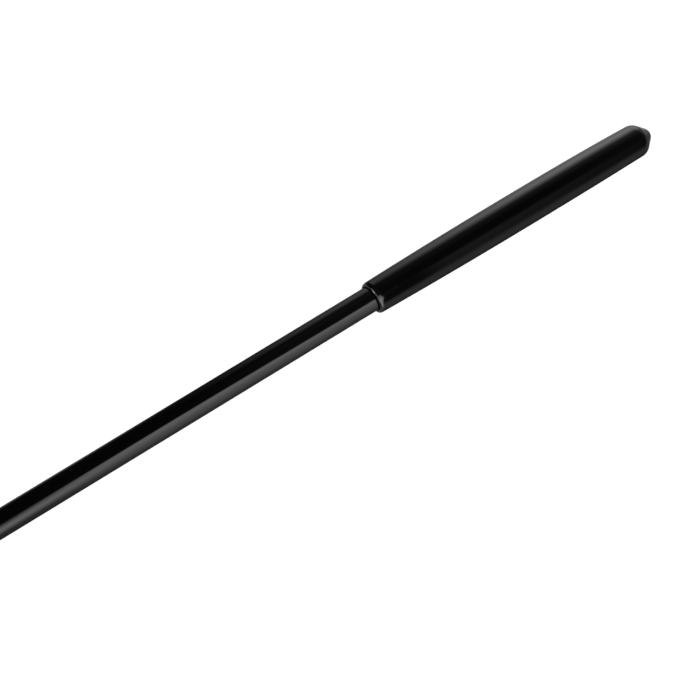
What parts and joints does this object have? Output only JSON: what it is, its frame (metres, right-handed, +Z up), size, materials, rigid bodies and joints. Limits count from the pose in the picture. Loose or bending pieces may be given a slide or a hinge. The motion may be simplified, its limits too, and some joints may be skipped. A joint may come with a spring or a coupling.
{
  "type": "magic wand",
  "caption": "Straight glossy black wand with a barrel-shaped vinyl grip sleeve on one end and a domed plug on the other.",
  "frame": {"origin": "middle of the wand, on its axis", "axes": "+X along the wand to the grip's closed end, -X to the bare tip; +Z up as it lies on a table"},
  "size_m": [0.38, 0.0138, 0.0138],
  "materials": {
    "shaft_lacquer": "gloss black stoving lacquer on drawn aluminium tube",
    "tip_plastic": "moulded gloss black plastic",
    "plug_nylon": "natural moulded nylon, hidden inside",
    "tape": "double-sided cloth tape, hidden inside",
    "grip_vinyl": "dip-moulded flexible vinyl, high gloss"
  },
  "bodies": {
    "root": {"shaft_tube": "shaft_lacquer", "tip_plug": "tip_plastic", "handle_plug": "plug_nylon", "grip_tape": "tape", "grip_sleeve": "grip_vinyl"}
  },
  "joints": []
}
